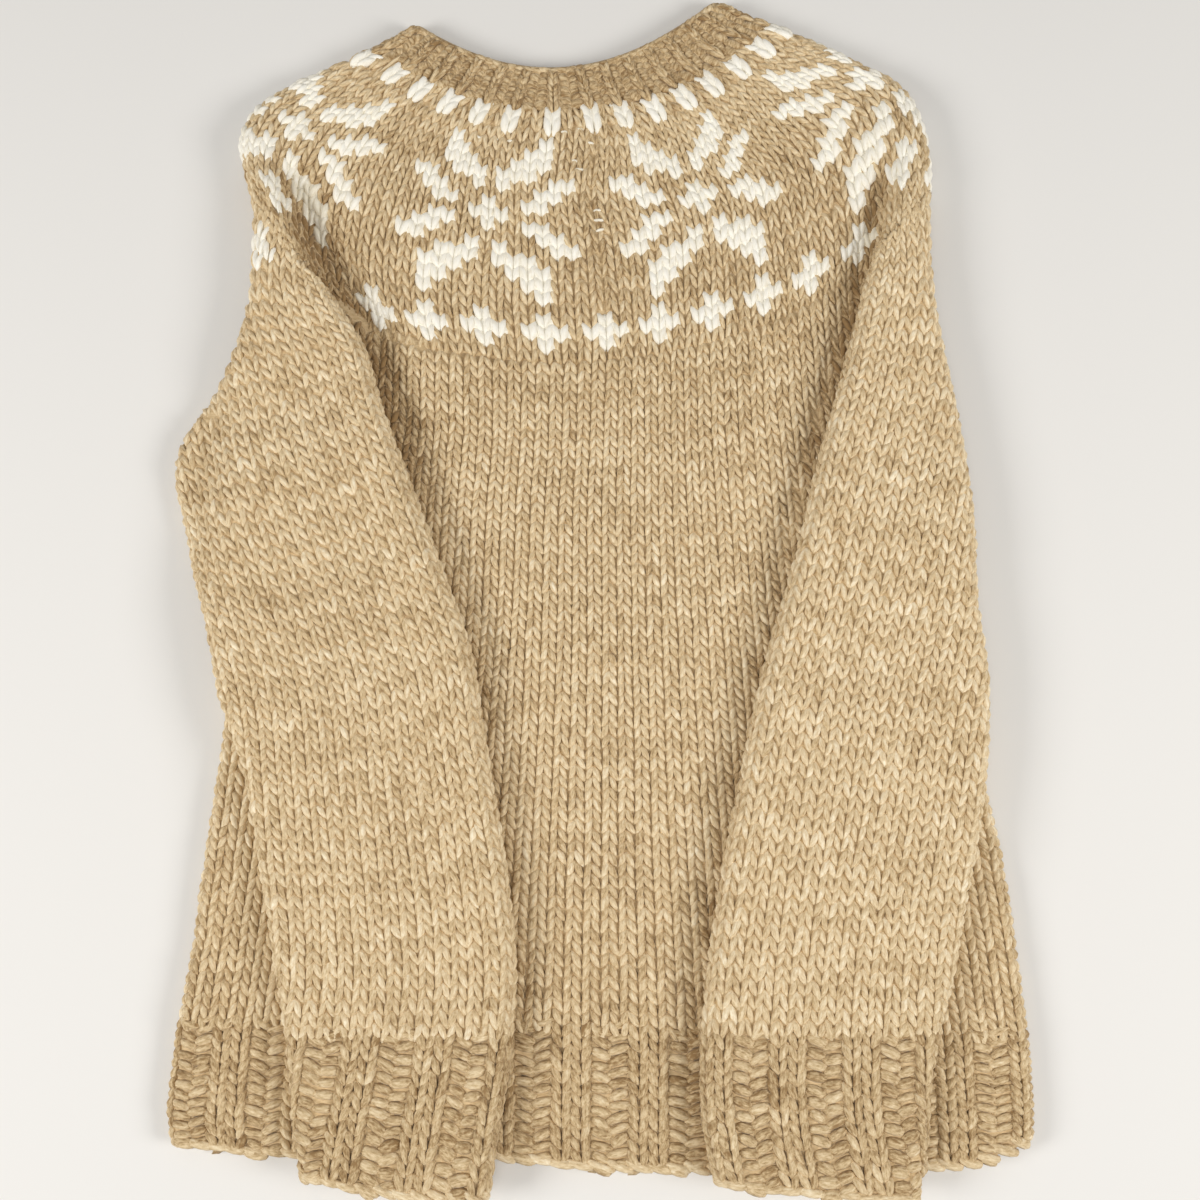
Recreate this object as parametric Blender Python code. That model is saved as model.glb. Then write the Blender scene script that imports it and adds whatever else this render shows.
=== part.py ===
"""Fair isle sweater, lying on its back with both sleeves folded down over the front.

Metres, +Z up, neck towards +Y. The cloth is a chunky knit, so every piece is a tube of thick
cloth pressed nearly flat: two layers with a thin hollow between them, open at both ends.
Tables and named sizes are in millimetres.
"""

import math

import bpy

MM = 0.001

# the cloth
WALL = 4.6  # one layer of the knit
HOLLOW = 2.8  # air between the two layers of a tube
TORSO_DEEP = 2.0 * WALL + HOLLOW  # both layers of the torso
SEAM = 0.5  # from one knitted piece to the next, along the cloth
RING_SEAM = 0.9  # the same at the yoke's curved lower edge
YOKE_FOOT = 139.0  # the middle of that edge, in y
LAY_GAP = 0.5  # from the torso to a sleeve that lies on it
DRAPE_FROM = 10.0  # a sleeve starts to sink this far outside the torso's side folds
DRAPE = 24.0  # and it is down on the floor after this much more
DRAPE_POWER = 1.5
TILT = 0.081  # the neck is turned a little, so its right side is higher

# the two ends of a flattened tube are rounded, and the middle is even
EDGE_STEPS = (1.0, 0.987, 0.962)
EVEN_FROM = 0.92
TORSO_SPANS = 16
SLEEVE_SPANS = 11

# side folds of the torso, from the hem to the shoulder: y, left fold, right fold
TORSO_SIDES = (
    (-300.0, -222.0, 225.0),
    (-267.0, -226.5, 227.0),
    (-227.0, -223.0, 225.5),
    (-182.0, -216.5, 221.5),
    (-136.0, -212.0, 216.0),
    (-96.0, -207.5, 208.0),
    (-53.0, -203.0, 201.0),
    (0.0, -196.0, 193.0),
    (50.0, -190.0, 186.0),
    (100.0, -184.0, 178.0),
    (150.0, -179.0, 170.0),
    (225.0, -176.0, 165.0),
)

# the hem's lower edge: x, y
HEM_EDGE = (
    (-228.0, -284.0),
    (-180.0, -290.5),
    (-110.0, -292.0),
    (-56.0, -292.0),
    (0.0, -298.0),
    (100.0, -300.0),
    (190.0, -297.0),
    (228.0, -283.0),
)
HEM_TOP = -228.0
HEM_STATIONS = 4

# rounds of the yoke and neckband, as curves that dip in the middle:
# (middle x, middle y, left end x, y, right end x, y, power of the rise, shoulder depth, crease t, crease width)
NECK_EDGE = (-20.3, 316.0, -108.3, 344.4, 67.8, 359.0, 2.0, 11.0, 0.8, 0.3)
NECK_ROUNDS = (
    (-19.5, 304.0, -117.5, 339.5, 78.0, 355.5, 2.0, 12.0, 0.8, 0.3),
    (-18.2, 291.6, -126.6, 334.2, 87.8, 350.0, 2.0, 12.0, 0.8, 0.3),
)
YOKE_ROUNDS = (
    (-18.0, 290.6, -127.4, 333.8, 88.6, 349.4, 2.0, 12.0, 0.8, 0.3),
    (-17.0, 280.0, -144.0, 325.0, 105.0, 342.5, 2.0, 12.6, 0.8, 0.3),
    (-16.0, 268.0, -160.0, 316.0, 122.0, 334.5, 2.0, 13.5, 0.8, 0.3),
    (-12.0, 243.0, -181.0, 304.5, 152.0, 319.0, 2.0, 15.5, 0.8, 0.3),
    (-6.0, 217.5, -197.0, 292.5, 174.0, 305.5, 2.0, 18.0, 0.8, 0.25),
    (-3.0, 193.0, -206.5, 275.5, 184.5, 287.0, 2.1, 20.5, 0.84, 0.18),
    (-1.0, 167.0, -205.0, 254.0, 189.5, 262.0, 2.3, 22.5, 0.86, 0.12),
    (0.0, 152.5, -201.0, 238.0, 189.2, 247.0, 2.4, 23.5, 0.84, 0.10),
    (0.0, YOKE_FOOT, -197.0, 222.0, 188.5, 232.0, 2.4, 24.0, 0.82, 0.09),
)

# body rounds below the yoke: share of the yoke's dip that each keeps, by its middle y
BODY_ROUNDS = (
    (-227.5, 0.0),
    (-190.0, 0.0),
    (-150.0, 0.0),
    (-105.0, 0.0),
    (-60.0, 0.03),
    (-20.0, 0.1),
    (20.0, 0.24),
    (60.0, 0.48),
    (95.0, 0.72),
    (120.0, 0.9),
    (YOKE_FOOT - RING_SEAM, 1.0),
)

# sleeve rounds from the yoke to the cuff: inner fold x, y, outer fold x, y, bow, depth
LEFT_SLEEVE = (
    (-157.0, 181.0, -196.6, 219.0, -2.0, 12.0),
    (-147.2, 167.0, -198.5, 172.0, -1.0, 12.4),
    (-132.4, 143.0, -212.0, 130.0, 0.0, 12.4),
    (-122.0, 110.0, -237.0, 84.0, 0.0, 12.4),
    (-109.0, 76.0, -232.0, 46.0, 0.0, 12.6),
    (-98.5, 49.0, -224.5, 18.0, 0.0, 12.8),
    (-87.0, 19.0, -215.0, -10.0, 0.0, 12.8),
    (-70.5, -27.0, -204.5, -53.0, 0.0, 12.8),
    (-62.5, -71.0, -191.0, -90.0, 0.0, 12.8),
    (-54.5, -116.0, -182.0, -131.0, 0.0, 12.6),
    (-48.0, -158.0, -175.0, -168.0, 0.0, 12.4),
    (-44.5, -195.0, -169.5, -198.0, 0.0, 12.2),
    (-46.0, -231.0, -163.0, -231.0, 0.0, 12.0),
)
LEFT_CUFF = (
    (-46.0, -231.6, -163.0, -231.6, 0.0, 12.0),
    (-49.5, -254.5, -160.0, -254.5, 0.0, 12.2),
    (-53.5, -279.0, -157.5, -279.0, 0.0, 12.2),
    (-57.5, -311.0, -154.0, -299.0, -3.5, 12.0),
)
RIGHT_SLEEVE = (
    (155.0, 197.0, 188.2, 228.5, -2.5, 12.0),
    (149.1, 177.0, 188.0, 186.0, -1.0, 12.4),
    (141.5, 148.0, 193.6, 142.0, 0.0, 12.4),
    (132.5, 116.0, 201.0, 98.0, 0.0, 12.4),
    (121.5, 79.0, 205.5, 51.0, 0.0, 12.6),
    (108.5, 28.0, 205.5, 1.0, 0.0, 12.8),
    (95.0, -17.0, 209.5, -43.0, 0.0, 12.8),
    (83.5, -58.5, 207.5, -83.0, 0.0, 12.8),
    (74.0, -103.0, 201.5, -124.0, 0.0, 12.6),
    (65.0, -145.0, 193.5, -159.0, 0.0, 12.4),
    (58.0, -187.0, 186.0, -194.0, 0.0, 12.2),
    (53.0, -230.0, 176.5, -230.0, 0.0, 12.0),
)
RIGHT_CUFF = (
    (53.0, -230.6, 176.5, -230.6, 0.0, 12.0),
    (52.0, -254.5, 171.0, -256.0, 0.0, 12.2),
    (54.0, -279.0, 168.5, -282.0, 0.0, 12.2),
    (59.0, -302.0, 163.5, -312.0, -1.5, 12.0),
)

WOOL = (0.60, 0.45, 0.27, 1.0)
WOOL_ROUGHNESS = 0.9


def clear_objects():
    for old in list(bpy.data.objects):
        bpy.data.objects.remove(old, do_unlink=True)


def between(rows, at, column):
    """A column of a table whose first column rises, read between its rows."""
    if at <= rows[0][0]:
        return rows[0][column]
    for low, high in zip(rows, rows[1:]):
        if at <= high[0]:
            share = (at - low[0]) / (high[0] - low[0])
            return low[column] + share * (high[column] - low[column])
    return rows[-1][column]


def ease(share):
    share = min(1.0, max(0.0, share))
    return share * share * (3.0 - 2.0 * share)


def side_samples(spans):
    """Places across a flattened tube from -1 to 1, close together near both folds."""
    even = [EVEN_FROM * (2.0 * i / spans - 1.0) for i in range(spans + 1)]
    return [-s for s in EDGE_STEPS] + even + list(reversed(EDGE_STEPS))


def roundness(from_fold, radius):
    """How far the cloth has opened at this distance from the fold: 0 at it, 1 past the radius."""
    if from_fold >= radius:
        return 1.0
    return math.sqrt(max(0.0, 1.0 - (1.0 - from_fold / radius) ** 2))


def loop(plan, half, floor, deep, shrink, spans):
    """One closed round of a tube. plan(w) is its line seen from above, and shrink is 0 for the
    outside of the cloth or WALL for the inside, where only the thin hollow is left."""
    inside = shrink > 0.0
    top, bottom = [], []
    for w in side_samples(spans):
        at = w * (half - shrink) / half
        x, y = plan(at)
        from_fold = (half - shrink) * (1.0 - abs(w))
        low = floor(x, y)
        full = deep(at)
        if inside:
            open_by = roundness(from_fold, HOLLOW)
            middle = low + WALL + HOLLOW / 2.0
            top.append((x, y, middle + open_by * HOLLOW / 2.0))
            bottom.append((x, y, middle - open_by * HOLLOW / 2.0))
        else:
            radius = full / 2.0
            open_by = roundness(from_fold, radius)
            middle = low + radius
            top.append((x, y, middle + open_by * radius))
            bottom.append((x, y, middle - open_by * radius))
    return top + list(reversed(bottom))[1:-1]


def tube(name, outside, inside):
    """A closed solid from matching rounds of its outside and its inside, open at both ends."""
    count = len(outside[0])
    rings = outside + list(reversed(inside))
    points = [tuple(MM * c for c in p) for ring in rings for p in ring]
    faces = []
    for r in range(len(rings)):
        here = r * count
        there = ((r + 1) % len(rings)) * count
        for i in range(count):
            j = (i + 1) % count
            faces.append((here + i, here + j, there + j))
            faces.append((here + i, there + j, there + i))
    mesh = bpy.data.meshes.new(name)
    mesh.from_pydata(points, [], faces)
    mesh.validate()
    mesh.update()
    thing = bpy.data.objects.new(name, mesh)
    bpy.context.scene.collection.objects.link(thing)
    return thing


def give_wool(thing):
    wool = bpy.data.materials.new(thing.name + "_wool")
    wool.use_nodes = True
    shader = wool.node_tree.nodes["Principled BSDF"]
    shader.inputs["Base Color"].default_value = WOOL
    shader.inputs["Roughness"].default_value = WOOL_ROUGHNESS
    shader.inputs["Metallic"].default_value = 0.0
    thing.data.materials.append(wool)


def on_floor(x, y):
    return 0.0


def round_height(row, x):
    """y of a yoke round at x."""
    mid_x, mid_y, left_x, left_y, right_x, right_y, power = row[:7]
    end_x, end_y = (left_x, left_y) if x < mid_x else (right_x, right_y)
    rise = end_y - mid_y - TILT * (end_x - mid_x)
    t = (x - mid_x) / (end_x - mid_x)
    return mid_y + TILT * (x - mid_x) + rise * abs(t) ** power


def yoke_loops(row):
    """Outside and inside round of the yoke or neckband."""
    mid_x, left_x, right_x = row[0], row[2], row[4]
    shoulder, crease, width = row[7:10]

    def plan(w):
        x = left_x + (right_x - left_x) * (w + 1.0) / 2.0
        return x, round_height(row, x)

    def deep(w):
        x = plan(w)[0]
        end_x = left_x if x < mid_x else right_x
        t = (x - mid_x) / (end_x - mid_x)
        return TORSO_DEEP + (shoulder - TORSO_DEEP) * ease((t - crease) / width + 0.5)

    half = (right_x - left_x) / 2.0
    return [loop(plan, half, on_floor, deep, shrink, TORSO_SPANS) for shrink in (0.0, WALL)]


def side_at(y_of, column):
    """x where the line y_of(x) meets a side fold of the torso."""
    x = TORSO_SIDES[0][column]
    for _ in range(12):
        x = between(TORSO_SIDES, y_of(x), column)
    return x


def torso_loops(y_of):
    """Outside and inside round of the body or hem along the line y_of(x)."""
    left_x = side_at(y_of, 1)
    right_x = side_at(y_of, 2)

    def plan(w):
        x = left_x + (right_x - left_x) * (w + 1.0) / 2.0
        return x, y_of(x)

    half = (right_x - left_x) / 2.0
    return [
        loop(plan, half, on_floor, lambda w: TORSO_DEEP, shrink, TORSO_SPANS)
        for shrink in (0.0, WALL)
    ]


def body_line(mid_y, share):
    last = YOKE_ROUNDS[-1]
    return lambda x: mid_y + share * (round_height(last, x) - last[1])


def hem_line(share):
    """Lines of the hem rib, from its top at 0 to its lower edge at 1."""
    top = HEM_TOP - SEAM
    return lambda x: top + share * (between(HEM_EDGE, x, 1) - top)


def rest_height(x, y):
    """Height of what a sleeve lies on: the torso, falling to the floor outside it."""
    outside = max(between(TORSO_SIDES, y, 1) - x, x - between(TORSO_SIDES, y, 2))
    sinking = max(0.0, outside - DRAPE_FROM) / DRAPE
    share = max(0.0, 1.0 - sinking**DRAPE_POWER)
    return (TORSO_DEEP + LAY_GAP) * share


def sleeve_loops(row):
    """Outside and inside round of a sleeve or cuff, lying across it from fold to fold."""
    in_x, in_y, out_x, out_y, bow, depth = row
    if in_x > out_x:
        left, right = (out_x, out_y), (in_x, in_y)
    else:
        left, right = (in_x, in_y), (out_x, out_y)

    def plan(w):
        t = (w + 1.0) / 2.0
        x = left[0] + (right[0] - left[0]) * t
        y = left[1] + (right[1] - left[1]) * t + bow * (1.0 - w * w)
        return x, y

    half = math.hypot(right[0] - left[0], right[1] - left[1]) / 2.0
    return [
        loop(plan, half, rest_height, lambda w: depth, shrink, SLEEVE_SPANS)
        for shrink in (0.0, WALL)
    ]


def build(name, pairs):
    thing = tube(name, [p[0] for p in pairs], [p[1] for p in pairs])
    give_wool(thing)
    return thing


def centre_over_origin(things):
    """Moves everything so that the middle of its box is over the origin."""
    spots = [v.co for thing in things for v in thing.data.vertices]
    mid_x = (min(p.x for p in spots) + max(p.x for p in spots)) / 2.0
    mid_y = (min(p.y for p in spots) + max(p.y for p in spots)) / 2.0
    for spot in spots:
        spot.x -= mid_x
        spot.y -= mid_y


def main():
    clear_objects()
    hem_shares = [i / (HEM_STATIONS - 1) for i in reversed(range(HEM_STATIONS))]
    pieces = [
        build("neckband", [yoke_loops(r) for r in reversed((NECK_EDGE,) + NECK_ROUNDS)]),
        build("yoke", [yoke_loops(r) for r in reversed(YOKE_ROUNDS)]),
        build("body", [torso_loops(body_line(*r)) for r in BODY_ROUNDS]),
        build("hem_rib", [torso_loops(hem_line(s)) for s in hem_shares]),
        build("sleeve_left", [sleeve_loops(r) for r in reversed(LEFT_SLEEVE)]),
        build("cuff_left", [sleeve_loops(r) for r in reversed(LEFT_CUFF)]),
        build("sleeve_right", [sleeve_loops(r) for r in reversed(RIGHT_SLEEVE)]),
        build("cuff_right", [sleeve_loops(r) for r in reversed(RIGHT_CUFF)]),
    ]
    centre_over_origin(pieces)


main()
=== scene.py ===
"""Fair isle sweater in chunky camel wool, laid on its back with both sleeves folded down over
the front. The cloth of each knitted piece is a thin tube on its solid's form, and every stitch
on it is a pair of yarn legs, or the bump of a purl stitch in the ribs.

Lengths in the tables are millimetres, on the garment's own axes: x across, y towards the neck
and z up from the floor. Columns and rows are counted in stitches.
"""

import math
from functools import partial

import bpy
import numpy as np
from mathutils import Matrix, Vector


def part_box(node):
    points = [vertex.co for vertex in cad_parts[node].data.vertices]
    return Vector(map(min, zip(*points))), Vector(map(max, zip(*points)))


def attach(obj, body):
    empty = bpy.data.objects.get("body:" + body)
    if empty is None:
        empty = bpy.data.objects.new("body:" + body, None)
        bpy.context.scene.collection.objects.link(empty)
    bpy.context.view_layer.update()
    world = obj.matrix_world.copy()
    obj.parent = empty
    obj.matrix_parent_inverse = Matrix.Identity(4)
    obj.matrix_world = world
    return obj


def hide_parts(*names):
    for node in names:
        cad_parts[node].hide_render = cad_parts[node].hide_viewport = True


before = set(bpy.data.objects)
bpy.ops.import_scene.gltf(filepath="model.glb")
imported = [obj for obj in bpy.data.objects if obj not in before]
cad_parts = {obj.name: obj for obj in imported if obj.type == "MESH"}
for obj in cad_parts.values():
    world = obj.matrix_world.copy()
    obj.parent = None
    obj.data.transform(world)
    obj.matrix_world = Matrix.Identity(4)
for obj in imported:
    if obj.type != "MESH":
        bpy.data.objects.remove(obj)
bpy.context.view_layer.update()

MM = 0.001
rng = np.random.default_rng(11)

# ---- the garment's sizes

WALL = 4.6
TORSO_DEEP = 12
LAY_GAP = 0.5  # between the torso and a sleeve on it
DRAPE_FROM = 10  # this far past the torso's fold a sleeve begins to sink,
DRAPE = 24  # and after this much more it lies on the floor
DRAPE_POWER = 1.5
TILT = 0.081  # slope of the yoke's rounds, up to the right
FOLDS_FADE = 14  # the soft folds fade out this close to a side fold
# the ridge along a sleeve's inner fold: how high, how far in and how wide
RIDGE_HIGH = 2.4
RIDGE_IN = 9
RIDGE_WIDE = 8
# a round of the yoke below its foot goes down under the sleeves: steps in y and shares of z
TUCK_STEP = 8
TUCK_SINK = 0.3
# the tube of cloth lies this far under the middle of the stitches' legs
YOKE_UNDER = 1.35
BODY_UNDER = 1.3
SLEEVE_UNDER = 1
RIB_UNDER = 1.3
NECK_UNDER = 0.5

OUTER_X = -237  # outermost point of the left sleeve
NECK_Y = 359  # highest point of the neck edge
SHIFT = (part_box("sleeve_left")[0].x / MM - OUTER_X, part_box("neckband")[1].y / MM - NECK_Y, 0)

# side folds of the torso: y, left fold, right fold
TORSO_SIDES = np.array([
    (-300, -222, 225), (-267, -226.5, 227), (-227, -223, 225.5),
    (-182, -216.5, 221.5), (-136, -212, 216), (-96, -207.5, 208),
    (-53, -203, 201), (0, -196, 193), (50, -190, 186),
    (100, -184, 178), (150, -179, 170), (225, -176, 165),
])

# lower edge of the hem: x, y
HEM_EDGE = np.array([
    (-228, -284), (-180, -290.5), (-110, -292), (-56, -292),
    (0, -298), (100, -300), (190, -297), (228, -283),
])

# rounds of the yoke and neckband: row, middle x, y, left end x, y, right end x, y,
# power of the rise, depth at the shoulder, where the crease is and how wide
ROUNDS = np.array([
    (-12, 0, 138.6, -197, 221.6, 188.5, 231.6, 2.4, 24, 0.82, 0.09),
    (-10, 0, 152.5, -201, 238, 189.2, 247, 2.4, 23.5, 0.84, 0.1),
    (-7.8, -1, 167, -205, 254, 189.5, 262, 2.3, 22.5, 0.86, 0.12),
    (-3.8, -3, 193, -206.5, 275.5, 184.5, 287, 2.1, 20.5, 0.84, 0.18),
    (0, -6, 217.5, -197, 292.5, 174, 305.5, 2, 18, 0.8, 0.25),
    (3.9, -12, 243, -181, 304.5, 152, 319, 2, 15.5, 0.8, 0.3),
    (7.7, -16, 268, -160, 316, 122, 334.5, 2, 13.5, 0.8, 0.3),
    (9.5, -17, 280, -144, 325, 105, 342.5, 2, 12.6, 0.8, 0.3),
    (11, -18.1, 291.1, -127, 334, 88.2, 349.7, 2, 12, 0.8, 0.3),
    (14, -19.5, 304, -117.5, 339.5, 78, 355.5, 2, 12, 0.8, 0.3),
    (17.5, -20.3, 316, -108.3, 344.4, 67.8, 359, 2, 11, 0.8, 0.3),
])
YOKE_FOOT = -12
YOKE_TOP = 11
NECK_TOP = 17.5

# the body below the yoke: row, middle y, share of the yoke's dip that the row keeps
BODY_ROWS = np.array([
    (-77, -228, 0), (-66, -163.5, 0), (-55.1, -100, 0), (-48, -60, 0.03), (-40.9, -20, 0.1),
    (-33.6, 20, 0.24), (-26.3, 60, 0.48), (-19.9, 95, 0.72), (-15.4, 120, 0.9), (-12, 138.6, 1),
])
HEM_TOP = -77
HEM_FOOT = -89

# sleeves, with their cuffs in the last four rows: inner fold x, y, outer fold x, y, bow, depth
LEFT_ARM = np.array([
    (-157, 181, -196.6, 219, -2, 12), (-147.2, 167, -198.5, 172, -2, 12.4),
    (-132.4, 143, -212, 130, -4, 12.4), (-122, 110, -237, 84, -8, 12.4),
    (-109, 76, -232, 46, -12, 12.6), (-98.5, 49, -224.5, 18, -15, 12.8),
    (-87, 19, -215, -10, -16, 12.8), (-70.5, -27, -204.5, -53, -15, 12.8),
    (-62.5, -71, -191, -90, -12, 12.8), (-54.5, -116, -182, -131, -7, 12.6),
    (-48, -158, -175, -168, -3, 12.4), (-44.5, -195, -169.5, -198, -1, 12.2),
    (-46, -231.3, -163, -231.3, 0, 12), (-49.5, -254.5, -160, -254.5, 0, 12.2),
    (-53.5, -279, -157.5, -279, 0, 12.2), (-57.5, -311, -154, -299, -3.5, 12),
])
RIGHT_ARM = np.array([
    (155, 197, 188.2, 228.5, -2.5, 12), (149.1, 177, 188, 186, -1, 12.4),
    (141.5, 148, 193.6, 142, 0, 12.4), (132.5, 116, 201, 98, 0, 12.4),
    (121.5, 79, 205.5, 51, 0, 12.6), (108.5, 28, 205.5, 1, 0, 12.8),
    (95, -17, 209.5, -43, 0, 12.8), (83.5, -58.5, 207.5, -83, 0, 12.8),
    (74, -103, 201.5, -124, 0, 12.6), (65, -145, 193.5, -159, 0, 12.4),
    (58, -187, 186, -194, 0, 12.2), (53, -230.3, 176.5, -230.3, 0, 12),
    (52, -254.5, 171, -256, 0, 12.2), (54, -279, 168.5, -282, 0, 12.2),
    (59, -302, 163.5, -312, -1.5, 12),
])
CUFF_TOP = -4  # the row where a cuff begins

# soft troughs and ridges pressed into the cloth: x, y of one end, x, y of the other, width, height
TORSO_FOLDS = (
    (-128, 150, -60, 60, 20, -1.1), (120, 160, 66, 40, 22, -1.2),
    (-20, 60, 10, -60, 34, 0.9), (30, -40, 48, -210, 18, -1.1),
    (-30, -90, -34, -215, 16, -0.9), (-205, -120, -196, -215, 12, -1.2),
    (196, -130, 206, -225, 12, -1.2), (-75, 205, -135, 235, 16, 1.1),
    (70, 245, 120, 205, 16, -1), (2, 250, 4, 150, 9, -0.8),
    (-176, 246, -163, 215, 6.5, -6), (-157, 204, -137, 172, 7.5, -4.8),
    (-131, 160, -113, 112, 9, -3.8), (-107, 98, -84, 40, 9, -3),
    (-78, 26, -58, -30, 8, -2.4), (-190, 238, -172, 207, 6, 2.5),
    (163, 246, 160, 222, 5.5, -5), (157, 213, 144, 176, 6.5, -4.2),
    (140, 165, 119, 92, 6.5, -3.4), (115, 80, 98, 20, 7, -2.6),
    (174, 240, 170, 210, 6, 2),
)
SLEEVE_FOLDS = (
    (-214, 100, -160, 118, 14, -1.6), (-205, 60, -140, 84, 16, 1.2),
    (-196, 10, -128, 30, 16, -1), (-150, -60, -120, -190, 22, 1),
    (-90, -80, -74, -200, 16, -1), (168, 150, 186, 90, 12, -1.2),
    (140, 60, 190, 20, 18, 1), (150, -30, 196, -60, 16, -1.1),
    (120, -70, 104, -200, 20, 1.1), (165, -110, 150, -215, 18, -1),
)

# ---- the knitting's counts

YOKE_HALF = 56  # columns from the front's middle round to the back's
YOKE_FOLD = 28  # and to the shoulder fold
BODY_HALF = 46
BODY_FOLD = 23
NECK_HALF = 45
NECK_COLUMN = YOKE_HALF / NECK_HALF  # a column of the neckband, in the yoke's columns
BODY_PITCH = np.array([(-228, 10.2), (-137, 9.3), (0, 8.2), (95, 7.8), (138.6, 7.9)])
SLEEVE_PITCH_TOP = 7.6
SLEEVE_PITCH_LOW = 8.5
CUFF_PITCH = 9.5
SLEEVE_REACH = 20  # columns of a sleeve from its inner fold over the top and outer fold,
SLEEVE_BACK = 3  # and back under it
LEFT_ROW = 6.6
RIGHT_ROW = 6.85
CUFF_ROWS = 12
HEM_ROWS = 12
FINE = 0.25  # step of the grids that the cloth's form is kept on, in stitches

# how the torso was nudged as it was laid out: row, and for each of these columns, from the
# left fold to the right one, how many stitches to the right
DRIFT_COLUMNS = (-28, -24, -16, -8, 0, 8, 16, 24, 28)
DRIFT_RIGHT = np.array([
    (-77, 0, 0, 0, 0, 0, 0, 0, 0, 0),
    (-30, 0, 0, 0, 0.1, 0.1, 0, 0, 0, 0),
    (-18, 0, 0, 0.2, 0.3, 0.3, 0, -0.2, 0, 0),
    (-12, 0, 0, 0.3, 0.3, 0.4, -0.1, -0.4, -0.2, 0),
    (-10, 0, 0, 0.3, 0.3, 0.4, -0.1, -0.5, 0, 0),
    (0, 0, 0.2, 0.3, 0.4, 0.5, 0.9, 0.6, 1.9, 1.2),
    (9.5, 0.3, 0.5, 0.3, 0.4, 2.6, 2.2, 1.5, 1.1, 0.5),
    (11, 0.2, 0.5, 0.4, 0.5, 2.6, 2.2, 1.5, 1, 0.4),
    (14, 0.1, 0.4, 0.6, 0.8, 2.4, 2, 1.4, 0.8, 0.3),
    (17.5, 0, 0.3, 0.8, 1.2, 2.2, 2.2, 1.6, 0.6, 0),
])
# and how many rows up
DRIFT_UP = np.array([
    (-89, 0, 0, 0, 0, 0, 0, 0, 0, 0),
    (-77, 0, 0.5, 0.8, 0.7, 0, -0.7, -0.9, -0.5, 0),
    (-30, 0, 0.4, 0.8, 0.7, 0, -0.5, -0.5, -0.2, 0),
    (-18, 0, 0, -0.6, 0.1, 0.1, 0.1, 0, 0, 0),
    (-12, 0, 0, -1, 0.3, 0.3, 0.3, 0, 0, 0),
    (-10, 0, -1, -1.2, 0.5, 0.3, 0.35, 0, -0.8, 0),
    (0, 0, 0.2, 0.3, 0.6, 0.7, 0.6, 1.5, 2.3, 2),
    (9.5, 0.1, 0.4, 0.3, 0.3, 0.4, -0.4, -0.6, -0.4, 0),
    (11, -0.8, -0.5, -0.2, 0, 0, -0.5, -0.9, -0.9, -0.6),
    (14, -1.8, -1.4, -0.8, -0.5, -0.4, -0.6, -0.9, -1.5, -1.8),
    (17.5, 0, 0, 0, 0, 0, 0, 0, 0, 0),
])
DRIFT_FADE = 6  # columns past a fold in which the nudge ends

# the flower's rows from its middle: columns of the right half, which the other parts mirror
FLOWER = ((0, 1), (0, 3, 4), (4, 5), (1, 5, 6), (1, 2, 3), (2, 3, 4), (3, 4), (4,))
FLOWER_AXES = range(-56, 57, 16)
CROSS = ((0, 0), (-1, 0), (1, 0), (0, 1), (0, -1))
CROSS_CENTRES = range(-56, 56, 4)
CROSS_ROW = -10
CROSS_LIFTED = {-24: 3, 24: 3}  # at the shoulders they are pulled up
# on the left one cross is lost in the fold, and the next has slid down on to the sleeve
CROSS_GONE = (-28, -20)
SLID_CROSS = (-6.5, -1.5)
DASH_ROW = 9
DASH_REPEAT = 3
# bits of cream yarn that peep out where the rounds begin and under the dashes: column, row and
# half length
STRAY_FLOATS = np.array([
    (-1.6, 5.6, 3), (-1.2, 4.8, 3.2), (0.45, 0.8, 3), (0.35, -0.1, 3.4),
    (0.25, -1, 2.8), (-0.5, 7.2, 2.6), (-1.4, 8.6, 2.4), (-2.7, 8.5, 2.4),
    (-6.8, 7.5, 3), (-8.5, 7.5, 2.8), (-10.1, 7.4, 2.8), (2.6, 7.2, 2.2),
])


def between(rows, at, column):
    return np.interp(at, rows[:, 0], rows[:, column])


def ease(share):
    share = np.clip(share, 0, 1)
    return share * share * (3 - 2 * share)


def jitter(count, spread):
    return spread * rng.normal(size=count)


def smooth_row(table, at):
    """A table's row for a place between those in its first column, along a smooth curve."""
    keys, rows = table[:, 0], table[:, 1:]
    slope = np.gradient(rows, keys, axis=0)
    i = int(np.clip(np.searchsorted(keys, at) - 1, 0, len(keys) - 2))
    gap = keys[i + 1] - keys[i]
    t = float(np.clip((at - keys[i]) / gap, 0, 1))
    t2, t3 = t * t, t * t * t
    return (
        (2 * t3 - 3 * t2 + 1) * rows[i]
        + (t3 - 2 * t2 + t) * gap * slope[i]
        + (3 * t2 - 2 * t3) * rows[i + 1]
        + (t3 - t2) * gap * slope[i + 1]
    )


def cell(grid, row, column, up, right):
    """A grid's value in the cell at row and column, up and right being shares of the cell."""
    low = grid[row, column] * (1 - right) + grid[row, column + 1] * right
    high = grid[row + 1, column] * (1 - right) + grid[row + 1, column + 1] * right
    return low * (1 - up) + high * up


def wobble(a, b, seed):
    """A soft uneven field from about -1 to 1, different for each seed."""
    s = 1.7 * seed
    return (
        np.sin(0.91 * a + 1.3 * np.sin(0.37 * b + s) + s)
        + np.sin(0.67 * b + 1.1 * np.sin(0.53 * a - s) + 2.3 * s)
        + 0.6 * np.sin(1.9 * a - 1.27 * b + 3.1 * s)
    ) / 2.6


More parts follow.
